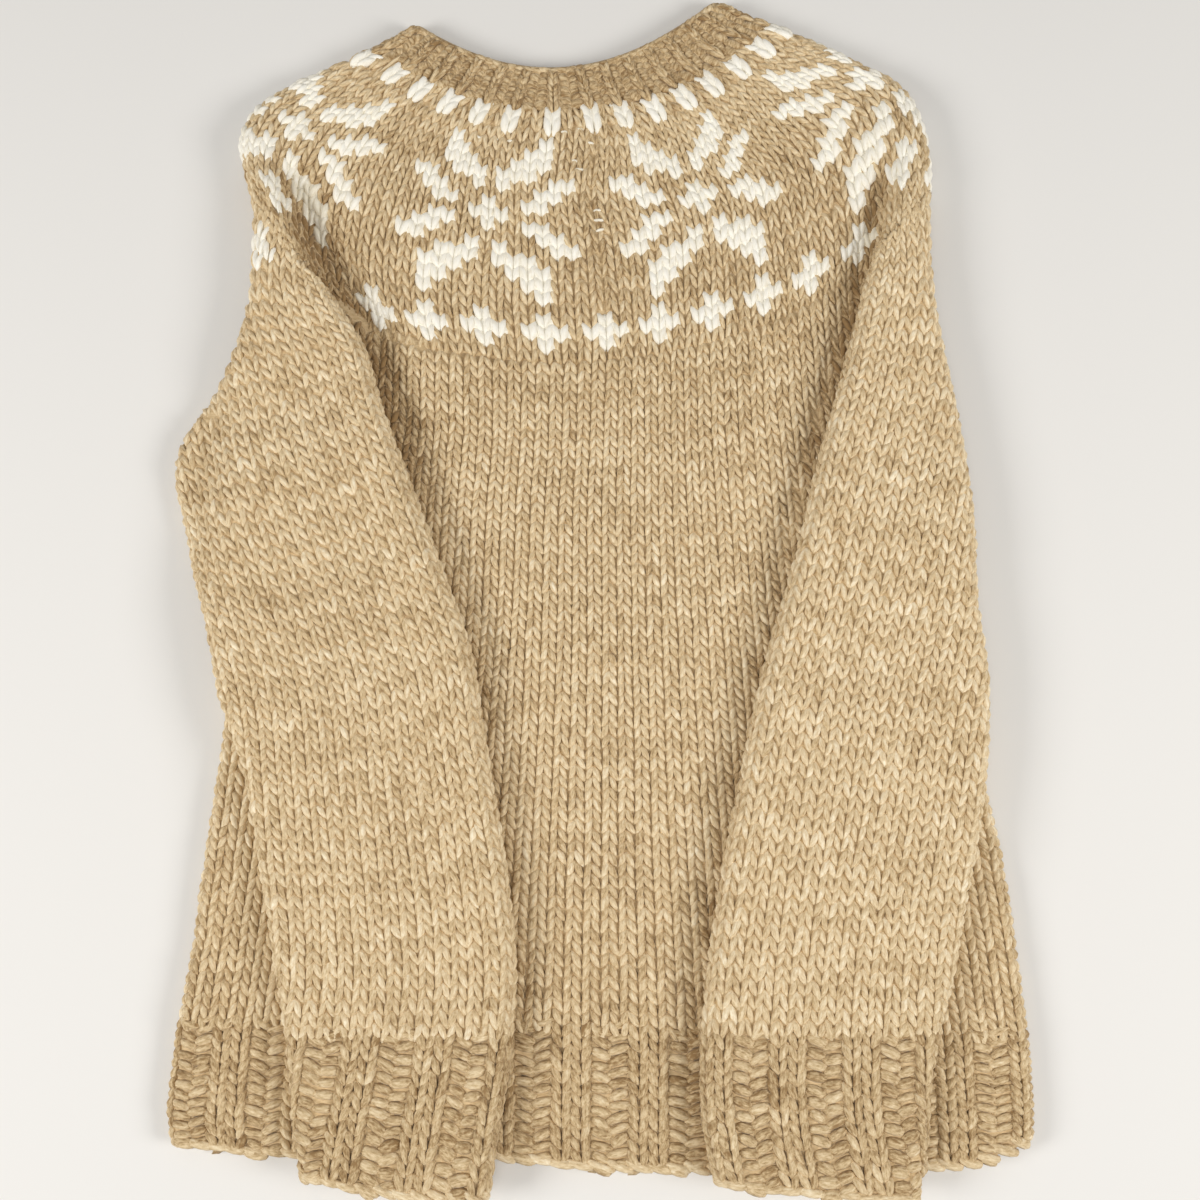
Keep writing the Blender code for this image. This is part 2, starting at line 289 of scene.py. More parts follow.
def pressed(folds, x, y):
    """Height that the soft folds add to the cloth at x, y."""
    total = np.zeros_like(x)
    for x0, y0, x1, y1, width, height in folds:
        run = (x1 - x0) ** 2 + (y1 - y0) ** 2
        t = np.clip(((x - x0) * (x1 - x0) + (y - y0) * (y1 - y0)) / run, 0, 1)
        off = np.hypot(x - x0 - t * (x1 - x0), y - y0 - t * (y1 - y0))
        total += height * np.exp(-((off / width) ** 2))
    return total


# ---- rounds of the tubes

SECTION = 90  # spans across a round's top
CENTRE = SECTION // 2
ACROSS = -np.cos(np.linspace(0, math.pi, SECTION + 1))


def part_way(left, right, at):
    """From left, where at is -1, to right, where it is 1."""
    return left + (right - left) * (at + 1) / 2


class Round:
    """One round of a flattened tube, as a line from the middle of its underside round the left
    fold, the top and the right fold back to that middle. Low is the height of what it lies on,
    and a ridge is added to its top."""

    def __init__(self, at, x, y, half, low, deep, folds, inset, ridge=0):
        radius = (deep - 2 * inset) / 2
        near = (half - inset) * (1 - np.abs(ACROSS))
        opened = np.sqrt(np.clip(1 - (1 - np.clip(near / radius, 0, 1)) ** 2, 0, 1))
        middle = low + inset + radius
        lift = pressed(folds, x, y) * ease(near / FOLDS_FADE) + ridge
        top = np.stack([x, y, middle + opened * radius + lift], axis=1)
        under = np.stack([x, y, middle - opened * radius], axis=1)
        top[:, 2] = np.maximum(top[:, 2], under[:, 2])
        self.line = np.concatenate([under[CENTRE:0:-1], top, under[SECTION - 1 : CENTRE - 1 : -1]])
        steps = np.linalg.norm(np.diff(self.line, axis=0), axis=1)
        self.arc = np.append(0, np.cumsum(steps))
        self.left = self.arc[CENTRE]
        self.right = self.arc[CENTRE + SECTION]
        self.end = self.arc[-1]
        self.across = at

    def arc_at(self, share):
        """Length along the line at a place on the top, share from -1 at the left fold to 1."""
        return np.interp(share, self.across, self.arc[CENTRE : CENTRE + SECTION + 1])

    def points(self, arcs):
        return np.stack([np.interp(arcs, self.arc, self.line[:, k]) for k in range(3)], axis=1)


def torso_ring(left_x, right_x, mid_x, height, depth, inset):
    """A round of the torso between its side folds; height and depth give y and its depth by x."""
    half = (right_x - left_x) / 2
    at = ACROSS * (half - inset) / half
    x = part_way(left_x, right_x, at)
    ring = Round(at, x, height(x), half, 0, depth(x), TORSO_FOLDS, inset)
    ring.middle = float(ring.arc_at(2 * (mid_x - left_x) / (right_x - left_x) - 1))
    return ring


def yoke_height(row, x):
    """y of a round of the yoke at x: it rises from its middle to both shoulders."""
    mid_x, mid_y, left_x, left_y, right_x, right_y, power = row[:7]
    end_x = np.where(x < mid_x, left_x, right_x)
    end_y = np.where(x < mid_x, left_y, right_y)
    rise = end_y - mid_y - TILT * (end_x - mid_x)
    t = np.clip((x - mid_x) / (end_x - mid_x), 0, 2)
    return mid_y + TILT * (x - mid_x) + rise * t**power


def yoke_round(r, inset=0):
    row = smooth_row(ROUNDS, r)
    mid_x, left_x, right_x = row[0], row[2], row[4]
    shoulder, crease, width = row[7:10]

    def depth(x):
        end_x = np.where(x < mid_x, left_x, right_x)
        t = (x - mid_x) / (end_x - mid_x)
        return TORSO_DEEP + (shoulder - TORSO_DEEP) * ease((t - crease) / width + 0.5)

    return torso_ring(left_x, right_x, mid_x, partial(yoke_height, row), depth, inset)


def tucked_yoke_round(r, inset=0):
    """A round of the yoke; below its foot it goes on straight down, under the sleeves."""
    ring = yoke_round(max(r, YOKE_FOOT), inset)
    below = min(r - YOKE_FOOT, 0)
    ring.line[:, 1] += TUCK_STEP * below
    ring.line[:, 2] *= 1 + TUCK_SINK * below
    return ring


def torso_round(height, inset):
    """A round below the yoke. Its folds are where it meets the side lines, found by stepping."""
    ends = TORSO_SIDES[0, 1:]
    for _ in range(12):
        ends = [float(between(TORSO_SIDES, height(x), k + 1)) for k, x in enumerate(ends)]
    return torso_ring(*ends, 0, height, lambda x: TORSO_DEEP, inset)


def body_round(r, inset=0):
    mid_y, share = smooth_row(BODY_ROWS, r)
    foot = ROUNDS[0, 1:]
    return torso_round(lambda x: mid_y + share * (yoke_height(foot, x) - foot[1]), inset)


def hem_round(r, inset=0):
    share = (HEM_TOP - r) / (HEM_TOP - HEM_FOOT)
    top = BODY_ROWS[0, 1]
    return torso_round(lambda x: top + share * (np.interp(x, *HEM_EDGE.T) - top), inset)


def rest_height(x, y):
    """Height of what a sleeve lies on: the torso, falling to the floor outside it."""
    left = between(TORSO_SIDES, y, 1) - x
    right = x - between(TORSO_SIDES, y, 2)
    sinking = np.clip(np.maximum(left, right) - DRAPE_FROM, 0, None) / DRAPE
    return (TORSO_DEEP + LAY_GAP) * np.clip(1 - sinking**DRAPE_POWER, 0, 1)


def with_lengths(rows):
    """Rows of a sleeve or cuff, each with its length from the upper end before it."""
    mid = (rows[:, 0:2] + rows[:, 2:4]) / 2
    along = np.cumsum(np.linalg.norm(np.diff(mid, axis=0), axis=1))
    return np.column_stack([np.append(0, along), rows])


def sleeve_round(table, along, inset=0):
    """A round of a sleeve or cuff, at a length along it from its upper end."""
    row = smooth_row(table, along)
    inner, outer, (bow, depth) = row[:2], row[2:4], row[4:]
    inner_left = inner[0] < outer[0]
    left, right = (inner, outer) if inner_left else (outer, inner)
    half = math.hypot(right[0] - left[0], right[1] - left[1]) / 2
    at = ACROSS * (half - inset) / half
    x = part_way(left[0], right[0], at)
    y = part_way(left[1], right[1], at) + bow * (1 - at * at)
    from_inner = half * (1 + at if inner_left else 1 - at)
    ridge = RIDGE_HIGH * np.exp(-(((from_inner - RIDGE_IN) / RIDGE_WIDE) ** 2))
    return Round(at, x, y, half, rest_height(x, y), depth, SLEEVE_FOLDS, inset, ridge)


# ---- knitted surfaces


class Knit:
    """The form of a knitted piece on a fine grid of columns, which count to the right as seen,
    and rows, which count towards the neck. Arcs are lengths along each round, and rounds says
    where its left fold, right fold and end are."""

    def __init__(self, columns, rows, points, arcs=None, rounds=None):
        self.columns = columns
        self.rows = rows
        self.points = points
        self.arcs = arcs
        self.rounds = rounds
        self.side = np.gradient(points, axis=1) / FINE
        self.up = np.gradient(points, axis=0) / FINE
        out = np.cross(self.side, self.up)
        self.out = out / np.maximum(np.linalg.norm(out, axis=2, keepdims=True), 1e-9)

    def read(self, grid, c, r):
        """A grid's values at columns c and rows r. Past its rows it goes on straight for a bit."""
        fc = np.clip((c - self.columns[0]) / FINE, 0, len(self.columns) - 1.001)
        fr = np.clip((r - self.rows[0]) / FINE, -4, len(self.rows) + 3)
        ic = fc.astype(int)
        ir = np.clip(fr.astype(int), 0, len(self.rows) - 2)
        return cell(grid, ir, ic, (fr - ir)[..., None], (fc - ic)[..., None])

    def pitches(self, c, r):
        """Width of a column and height of a row, and how far a step to the next column goes up."""
        side = self.read(self.side, c, r)
        up = self.read(self.up, c, r)
        pitch_r = np.linalg.norm(up, axis=-1)
        skew = (side * up).sum(axis=-1) / pitch_r
        pitch_c = np.sqrt(np.maximum((side * side).sum(axis=-1) - skew * skew, 1))
        return pitch_c, pitch_r, skew

    def seen(self, c, r):
        """Plan place of stitches, and how much they face up: 1 is flat on top, -1 underneath."""
        spot = self.read(self.points, c, r)
        return spot[:, 0], spot[:, 1], self.read(self.out, c, r)[:, 2]


def drift(table, c, r):
    """Shifts of a drift table at columns c and rows r."""
    fc = np.interp(c, DRIFT_COLUMNS, np.arange(len(DRIFT_COLUMNS)))
    fr = np.interp(r, table[:, 0], np.arange(len(table)))
    ic = np.minimum(fc.astype(int), len(DRIFT_COLUMNS) - 2)
    ir = np.minimum(fr.astype(int), len(table) - 2)
    shift = cell(table[:, 1:], ir, ic, ease(fr - ir), ease(fc - ic))
    return shift * ease((YOKE_FOLD + DRIFT_FADE - np.abs(c)) / DRIFT_FADE)


def nudged(columns, rows, points):
    """The knit with its stitches moved as the sweater was laid out."""
    knit = Knit(columns, rows, np.array(points))
    c, r = np.meshgrid(columns, rows)
    c, r = c + drift(DRIFT_RIGHT, c, r), r + drift(DRIFT_UP, c, r)
    return Knit(columns, rows, knit.read(knit.points, c, r))


def fine_steps(low, high):
    return np.linspace(low, high, round((high - low) / FINE) + 1)


def yoke_knit():
    """The form of the yoke and neckband together."""
    columns = fine_steps(-YOKE_HALF, YOKE_HALF)
    rows = fine_steps(YOKE_FOOT - 1.5, NECK_TOP)
    knots = (-YOKE_HALF, -YOKE_FOLD, 0, YOKE_FOLD, YOKE_HALF)
    points = []
    for r in rows:
        ring = tucked_yoke_round(r)
        marks = (0, ring.left, ring.middle, ring.right, ring.end)
        points.append(ring.points(np.interp(columns, knots, marks)))
    return nudged(columns, rows, points)


def torso_arcs(ring, columns, pitch):
    """Lengths along a round of the torso at its columns, at the given pitch in the middle."""
    knots = (-BODY_HALF, -BODY_FOLD, BODY_FOLD, BODY_HALF)
    arcs = np.interp(columns, knots, (0, ring.left, ring.right, ring.end))
    share = np.abs(np.clip(columns / BODY_FOLD, -1, 1))
    for sign, fold in ((-1, ring.left), (1, ring.right)):
        reach = abs(fold - ring.middle)
        first = pitch * BODY_FOLD / reach
        bent = ring.middle + sign * reach * (first * share + (1 - first) * share**3)
        arcs = np.where((columns * sign >= 0) & (np.abs(columns) <= BODY_FOLD), bent, arcs)
    return arcs


def torso_knit(low, high):
    """The form of the body or hem between two rows."""
    columns = fine_steps(-BODY_HALF, BODY_HALF)
    rows = fine_steps(low, high)
    points = []
    for r in rows:
        ring = hem_round(r) if r < HEM_TOP else body_round(r)
        mid_y = smooth_row(BODY_ROWS, max(r, HEM_TOP))[0]
        points.append(ring.points(torso_arcs(ring, columns, between(BODY_PITCH, mid_y, 1))))
    return nudged(columns, rows, points)


def sleeve_knit(table, inner_left, count, pitch_top, pitch_low):
    """A sleeve's or cuff's form. Its columns count from the inner fold, which is column 0, and
    its rows from 0 at the upper end downwards."""
    ends = (-SLEEVE_BACK, SLEEVE_REACH) if inner_left else (-SLEEVE_REACH, SLEEVE_BACK)
    columns = fine_steps(*ends)
    rows = fine_steps(-count, 0)
    found = []
    for share in -rows / count:
        ring = sleeve_round(table, share * table[-1, 0])
        pitch = pitch_top + (pitch_low - pitch_top) * share
        arc = (ring.left if inner_left else ring.right) + columns * pitch
        found.append((ring.points(arc), arc, (ring.left, ring.right, ring.end)))
    return Knit(columns, rows, *map(np.array, zip(*found)))


# ---- yarn


def grain_form(places, corners):
    """A closed leg of yarn, from places along it with their fatness and the corners of its
    section: rows of (along, side, up, crest) from -1 to 1, and its faces of four and three
    corners. Crest is 1 along the leg's top and falls towards the sides that touch other legs."""
    rings = [(t, fat * a, fat * b, max(b, -0.3)) for t, fat in places for a, b in corners]
    points = [(-1, 0, -0.2, 0.3), *rings, (1, 0, -0.2, 0.1)]
    count, end = len(corners), len(rings) + 1
    quads, tris = [], []
    for k in range(count):
        n = (k + 1) % count
        tris += [(0, 1 + n, 1 + k), (end, end - count + k, end - count + n)]
        for a in range(1, end - count, count):
            quads.append((a + k, a + n, a + count + n, a + count + k))
    return np.array(points), np.array(quads), np.array(tris)


# a leg is pointed at its lower end, which lies in front, and blunt at the end that is tucked in
FULL_GRAIN = grain_form(
    ((-0.84, 0.56), (-0.5, 0.88), (-0.02, 1), (0.46, 0.95), (0.86, 0.66)),
    ((1, -0.3), (0.66, 0.72), (0, 1), (-0.66, 0.72), (-1, -0.3)),
)
PLAIN_GRAIN = grain_form(((-0.5, 0.86), (0.5, 0.86)), ((1, -0.3), (0, 1), (-1, -0.3), (0, -0.8)))
# painted shade: how much the tone darkens from a leg's crest into the groove beside it, where the legs
# touch
GROOVE_PAINTED_SHADE = 0.34
CREAM_GROOVE_PAINTED_SHADE = 0.08


class Yarn:
    """Legs of yarn on a knit, gathered for one mesh. The seed is that of its unevenness."""

    def __init__(self, knit, seed, painted_groove_shade=GROOVE_PAINTED_SHADE):
        self.knit = knit
        self.seed = seed
        self.painted_groove_shade = painted_groove_shade
        self.rows = []

    def add(self, place, half, bend, dips, lift, tone, slant=0):
        """Adds legs. Place is column, row and lean to the right. Half is half their size along,
        across and up. Dips are those of the two ends, and lift that of the whole."""
        values = np.broadcast_arrays(*place, *half, bend, *dips, lift, tone, slant)
        self.rows.append(np.stack(values, axis=1))

    def mesh(self, name, form=FULL_GRAIN):
        points, quads, tris = form
        legs = np.concatenate(self.rows)
        count = len(legs)
        c, r, lean, along, across, up, bend, low, high, lift, tone, slant = legs.T[:, :, None]
        t, side, rise, crest = points.T[:, None, :]
        run = along * t + slant * across * side
        off = across * side + bend * (1 - t * t)
        height = up * rise + lift - np.where(t < 0, low, high) * t * t
        cos, sin = np.cos(lean), np.sin(lean)
        mm_side = off * cos + run * sin
        mm_up = run * cos - off * sin
        knit = self.knit
        pitch_c, pitch_r, skew = knit.pitches(c, r)
        at_c = c + mm_side / pitch_c
        at_r = r + (mm_up - (at_c - c) * skew) / pitch_r
        spots = knit.read(knit.points, at_c, at_r) + knit.read(knit.out, at_c, at_r) * height[..., None]
        spots = spots.reshape(-1, 3) + SHIFT
        spots[:, 2] = np.maximum(spots[:, 2], 0)
        start = (np.arange(count) * len(points))[:, None, None]
        quads = (quads[None] + start).reshape(-1, 4)
        tris = (tris[None] + start).reshape(-1, 3)
        # each leg takes its fibres from a place of its own in the wool
        offset = rng.uniform(0, 400, (count, 1))
        yarn = np.stack([run + offset, across * side + 0.37 * offset, height], axis=2)
        # painted shade in the grooves between the legs
        tones = tone + self.painted_groove_shade * (crest - 0.6)
        build_mesh(name, spots, quads, tris, yarn.reshape(-1, 3), tones.ravel())


pieces = []


def add_object(name, data):
    thing = bpy.data.objects.new(name, data)
    bpy.context.scene.collection.objects.link(thing)
    return thing


def build_mesh(name, spots, quads, tris, yarn=None, tones=None):
    """Adds a piece, from its points in millimetres, its faces and, for yarn, each point's place
    in the wool and its tone."""
    mesh = bpy.data.meshes.new(name)
    mesh.vertices.add(len(spots))
    mesh.vertices.foreach_set("co", (spots * MM).astype(np.float32).ravel())
    loops = np.concatenate([quads.ravel(), tris.ravel()]).astype(np.int32)
    starts = np.concatenate([np.arange(len(quads)) * 4, len(quads) * 4 + np.arange(len(tris)) * 3])
    mesh.loops.add(len(loops))
    mesh.loops.foreach_set("vertex_index", loops)
    mesh.polygons.add(len(starts))
    mesh.polygons.foreach_set("loop_start", starts.astype(np.int32))
    mesh.shade_smooth()
    mesh.update(calc_edges=True)
    mesh.validate()
    if yarn is not None:
        place = mesh.attributes.new("yarn", "FLOAT_VECTOR", "POINT")
        place.data.foreach_set("vector", yarn.astype(np.float32).ravel())
        tone = mesh.attributes.new("tone", "FLOAT", "POINT")
        tone.data.foreach_set("value", tones.astype(np.float32))
    pieces.append(add_object(name, mesh))


def tones_for(c, r, seed):
    """The heather: a tone that drifts along each row's yarn, with a little of its own per leg."""
    slow = wobble(0.55 * c + 3.7 * np.round(r), 2.1 * np.round(r), seed)
    speck = rng.normal(0, 0.55, np.shape(c))
    return np.clip(0.5 + 0.18 * slow + 0.24 * speck, 0, 1)


# how much darker than the body's the yarn of a piece is drawn: painted shade, as the yoke and neck get
# less light than the body and the ribs lie deep in shadow
YOKE_SHADE = -0.14
NECK_SHADE = -0.5
RIB_SHADE = -0.38

# the left and right leg of a stitch: lean, half length in rows, half width in columns, slant of ends
PLAIN_LEGS = ((0.29, 0.87, 0.26, 0.92), (0.14, 0.89, 0.26, 0.65))
SLEEVE_LEGS = ((0.29, 0.9, 0.285, 0.92), (0.14, 0.92, 0.285, 0.65))
YOKE_LEGS = ((0.25, 0.98, 0.245, 0.85), (0.13, 1, 0.245, 0.65))
RIB_LEGS = ((0.25, 0.9, 0.29, 0.85), (0.12, 0.92, 0.29, 0.65))
NECK_LEGS = ((0.16, 1, 0.25, 0.8), (0.08, 1, 0.25, 0.6))
CREAM_LEGS = ((0.13, 1.22, 0.31, 0.8), (0.08, 1.22, 0.31, 0.6))
LEG_APART = 0.257  # columns from a stitch's middle to each leg
THINNEST = 1.75  # half the width of the thinnest leg
LONGEST = 4.1  # half the length of a leg, past which it grows by less than its row
ROUND_UP_TO = 2.3  # a leg this far across to each side is as high as any
CREAM_LIFT = -0.75
EDGE_SEED = 4
ACROSS_COLUMN = 0.5 * math.pi  # lean of yarn that lies across its column


def knit_legs(yarn, c, r, plump, shade, legs=PLAIN_LEGS, lift=-1.15):
    """Stockinette: each stitch at c, r is a V of two legs, the left one leaning more."""
    n = len(c)
    pitch_c, pitch_r, _ = yarn.knit.pitches(c, r)
    # where the cloth is pulled long and narrow its columns lock into each other
    stagger = (np.mod(np.round(c), 2) - 0.5) * 0.5 * ease(pitch_r / pitch_c - 1.2)
    for sign, (lean, reach, wide, slant) in zip((-1, 1), legs):
        own_c = c + jitter(n, 0.02) + sign * LEG_APART
        own_r = r + jitter(n, 0.05) + stagger + 0.2
        across = np.maximum(pitch_c * wide * plump, THINNEST) * (1 + jitter(n, 0.07))
        own_lean = sign * (lean + jitter(n, 0.05))
        along = np.minimum(pitch_r * reach, LONGEST + 0.3 * pitch_r) * (1 + jitter(n, 0.05))
        half = (along, across, np.minimum(across, ROUND_UP_TO) * 1.2)
        own_lift = lift + jitter(n, 0.2)
        tone = tones_for(c, r, yarn.seed) + shade
        yarn.add((own_c, own_r, own_lean), half, sign * 0.2, (0.9, 3), own_lift, tone, sign * slant)


def cream_floats(yarn, c, r, shade):
    """The cream yarn between the legs of a cream stitch, which fills the motif out."""
    pitch_c, pitch_r, _ = yarn.knit.pitches(c, r)
    n = len(c)
    for side in (0, 0.5):
        place = (c + side, r + 0.1 + jitter(n, 0.05), jitter(n, 0.1))
        half = (pitch_r * 0.66, np.maximum(pitch_c * 0.3, 1.6), 1.9)
        yarn.add(place, half, 0, (0.4, 0.8), -1.5, 0.4 + shade)


def dash_legs(yarn, c, r):
    """The short cream strokes under the neckband: two plump stitches, one above the other."""
    pitch_c, pitch_r, _ = yarn.knit.pitches(c, r)
    n = len(c)
    steep = 0.15 * ease((c - 8) / 14)
    for side, rise in ((-1, -1), (-1, 1), (1, -1), (1, 1)):
        lean = steep + side * (0.11 + 0.05 * rise) + jitter(n, 0.05)
        place = (c + side * 2.3 / pitch_c, r + rise * 3.3 / pitch_r, lean)
        half = (6.9 * (1 + jitter(n, 0.05)), 2.95 * (1 + jitter(n, 0.05)), 2.7)
        tone = tones_for(c, r, yarn.seed) + 0.1
        yarn.add(place, half, side * 0.2, (0.7, 1.4), -0.7 - 0.3 * rise, tone, side * 0.9)
    yarn.add((c, r + 0.3, steep), (6, 2.4, 1.9), 0, (0.6, 0.6), -1.2, 0.4)


def purl_bumps(yarn, c, r, right_of_pair, sink, shade, plump=1, high=2.6, vary=1):
    """Purl stitches: a plump bump lies across each. The bumps of a pair of columns lock into
    each other, so those of the right column sit half a row higher and tilt the other way."""
    n = len(c)
    side = np.where(right_of_pair, 1, -1)
    r = r + 0.25 * side
    pitch_c, pitch_r, _ = yarn.knit.pitches(c, r)
    own_c, own_r = c - 0.03 * side + jitter(n, 0.03), r + jitter(n, 0.05)
    lean = ACROSS_COLUMN - side * 0.32 + jitter(n, 0.12)
    along = pitch_c * 0.7 * (1 + jitter(n, 0.08))
    across = pitch_r * 0.52 * plump * (1 + jitter(n, 0.08))
    dips = (0.46 * high, 0.46 * high)
    lift = jitter(n, 0.2) - sink
    tone = vary * tones_for(c, r, yarn.seed) + shade
    yarn.add((own_c, own_r, lean), (along, across, high), -0.25, dips, lift, tone)


def edge_cord(yarn, c, r, along=0.85, across=2.9, lean=1.84, lift=-1.2, shade=0):
    """A cast-off edge: long slanting legs that overlap in a chain."""
    n = len(c)
    pitch_c = np.linalg.norm(yarn.knit.read(yarn.knit.side, c, r), axis=-1)
    place = (c + jitter(n, 0.05), r + jitter(n, 0.05), lean + jitter(n, 0.06))
    half = (pitch_c * along * (1 + jitter(n, 0.05)), across * (1 + jitter(n, 0.06)), across * 0.9)
    own_lift = lift + jitter(n, 0.15)
    yarn.add(place, half, 0.3, (0.7, 0.9), own_lift, tones_for(c, r, EDGE_SEED) + shade)


def wavy(c, r, seed):
    """Hand knitting's slight unevenness of columns and rows."""
    right = 0.06 * wobble(0.5 * c, 0.22 * r, seed)
    return c + right, r + 0.13 * wobble(0.33 * c, 0.45 * r, seed + 5)


def grid_of(columns, rows):
    c, r = np.meshgrid(columns, rows)
    return c.ravel(), r.ravel()


# ---- where the cloth is seen

COVER = 13  # a stitch further than this under a sleeve isn't made
UNDERSIDE = -0.75  # a stitch that faces down more than this is on the underside
# a sleeve's stitches reach this far past its outer and inner fold as those of its top, and
# leave this much bare beside the middle of its underside; there they begin near the torso's fold
PAST_OUTER = 14
PAST_INNER = 12
BARE = 4
NEAR_FOLD = 4


def covered(x, y):
    """True where a sleeve lies over the torso and hides its stitches."""
    hidden = np.zeros(x.shape, bool)
    for arm, side in ((LEFT_ARM, -1), (RIGHT_ARM, 1)):
        inner, outer = (np.interp(y, arm[::-1, k + 1], arm[::-1, k]) for k in (0, 2))
        inside = (side * (x - inner) > COVER) & (side * (outer - x) > COVER)
        hidden |= inside & (y > arm[:, 1].min() + COVER) & (y < arm[0, 1] - COVER)
    return hidden


# sleeve, its side, where its painted shadow begins above it, and how much wider the painted shadow is
# there
PAINTED_SHADOW_BANDS = ((LEFT_ARM, -1, (-176, 246), 9), (RIGHT_ARM, 1, (164, 250), 1))


def painted_fold_shadow(knit, c, r):
    """Painted shadow on the stitches close beside the sleeves' inner folds, where the cloth is
    pressed down and lies in the sleeves' shade: from 0 to about -0.8."""
    x, y, _ = knit.seen(c, r)
    total = np.zeros(x.shape)
    # the painted shadow is deeper beside the yoke, and fades out at the hem and above the sleeves
    high = ease((y - 30) / 60)
    deep = (0.4 + 0.4 * high) * ease((y + 290) / 60) * ease((262 - y) / 30)
    for arm, side, top, wider in PAINTED_SHADOW_BANDS:
        fold = np.vstack([top, arm[:, :2]])[::-1]
        away = side * (np.interp(y, fold[:, 1], fold[:, 0]) - x)
        total -= deep * np.exp(-(((away - 3) / (4 + wider * high)) ** 2))
    return total


SIDES = (("_top", FULL_GRAIN), ("_under", PLAIN_GRAIN))


def torso_sets(knit, c, r):
    """Stitches that are seen from above or the sides, and those on the underside."""
    x, y, tilt = knit.seen(c, r)
    top = (tilt > UNDERSIDE) & ~(covered(x, y) & (tilt > 0.5))
    return top, tilt <= UNDERSIDE


def sleeve_sets(knit, c, r, inner_left):
    """Stitches of a sleeve that are seen from above, and those on its underside off the torso."""
    arc = knit.read(knit.arcs[..., None], c, r)[:, 0]
    row = ((r - knit.rows[0]) / FINE).round().astype(int)
    left, right, end = knit.rounds[np.clip(row, 0, len(knit.rows) - 1)].T
    past = arc - right if inner_left else left - arc
    before = left - arc if inner_left else arc - right
    within = (arc > BARE) & (arc < end - BARE)
    top = within & (past < PAST_OUTER) & (before < PAST_INNER)
    x, y, _ = knit.seen(c, r)
    left, right = (between(TORSO_SIDES, y, k) for k in (1, 2))
    return top, within & ~top & ((x < left + NEAR_FOLD) | (x > right - NEAR_FOLD))


# ---- the yoke's pattern


def cream_spots():
    """Columns and rows of the cream stitches in the flowers and the small crosses."""
    flowers = {
        (axis + across * column, up * row)
        for axis in FLOWER_AXES
        for row, columns in enumerate(FLOWER)
        for column in columns
        for across, up in ((-1, -1), (-1, 1), (1, -1), (1, 1))
    }
    return flowers | {
        (centre + across, CROSS_ROW + CROSS_LIFTED.get(centre, 0) + up)
        for centre in CROSS_CENTRES
        for across, up in CROSS
        if centre not in CROSS_GONE
    }


# ---- the pieces


def tube_of_cloth(name, make, low, high, count, under, step=2):
    """The cloth of a piece: a thin closed tube on its solid's form, open at both ends. It has
    count rounds from place high to low, and takes every step-th of their points."""
    places = np.linspace(high, low, count)
    rings = [make(s, under).line[:-1:step] for s in places]
    rings += [make(s, WALL).line[:-1:step] for s in places[::-1]]
    total, size = len(rings), len(rings[0])
    a, i = np.meshgrid(np.arange(total), np.arange(size), indexing="ij")
    b, j = (a + 1) % total, (i + 1) % size
    quads = np.stack([a * size + i, b * size + i, b * size + j, a * size + j], axis=-1)
    build_mesh(name, np.concatenate(rings) + SHIFT, quads.reshape(-1, 4), np.zeros((0, 3), int))


def make_yoke(knit):
    c, r = grid_of(np.arange(-YOKE_HALF, YOKE_HALF), np.arange(YOKE_FOOT - 1, DASH_ROW))
    # the round below the foot is made only at the underarms
    kept = (r >= YOKE_FOOT) | (np.abs(np.abs(c) - YOKE_FOLD - 1) < 6)
    c, r = c[kept], r[kept]
    spots = cream_spots()
    cream = [spot in spots for spot in zip(c, r)]
    # above the flowers the stitches are fewer, so they are counted on the neck's own columns
    m, rows = grid_of(np.arange(-NECK_HALF, NECK_HALF), np.arange(DASH_ROW, YOKE_TOP - 0.5))
    c, r = np.append(c, m * NECK_COLUMN), np.append(r, rows)
    cream = np.append(cream, np.mod(m, DASH_REPEAT) == 0)
    dash = cream & (r >= DASH_ROW)
    plump = np.where(r < DASH_ROW, 1, NECK_COLUMN)
    sets = torso_sets(knit, c, r)
    c, r = wavy(c, r, 1)
    # painted shadow beside the sleeves' inner folds
    shade = painted_fold_shadow(knit, c, r)
    # the rounds begin in this column, which lies a little deeper; its stitches are darkened too,
    # painted shade for that depth
    first = ~cream & (np.abs(c - 0.4) < 0.5) & (np.abs(r) < 8.6)
    for (end, form), chosen in zip(SIDES, sets):
        yarn = Yarn(knit, 1)
        part = chosen & ~cream & ~first
        knit_legs(yarn, c[part], r[part], plump[part], YOKE_SHADE + shade[part], YOKE_LEGS)
        part = chosen & first
        knit_legs(yarn, c[part], r[part] + 0.45, 0.88, YOKE_SHADE - 0.2, YOKE_LEGS, -1.7)
        yarn.mesh("yoke_camel" + end, form)
        yarn = Yarn(knit, 1, CREAM_GROOVE_PAINTED_SHADE)
        part = chosen & cream & ~dash
        # the cream stitches take the painted shadow beside the sleeves' folds more strongly
        knit_legs(yarn, c[part], r[part], 1, shade[part] * 1.3, CREAM_LEGS, CREAM_LIFT)
        if form is FULL_GRAIN:
            cream_floats(yarn, c[part], r[part], shade[part] * 1.3)
            lean = ACROSS_COLUMN + jitter(len(STRAY_FLOATS), 0.2)
            yarn.add((*STRAY_FLOATS.T[:2], lean), (STRAY_FLOATS[:, 2], 1, 1.1), 0, (0.5, 0.5), -0.6, 0)
        part = chosen & dash & (r < DASH_ROW + 0.5)
        dash_legs(yarn, c[part], DASH_ROW + 0.5)
        yarn.mesh("yoke_cream" + end, form)


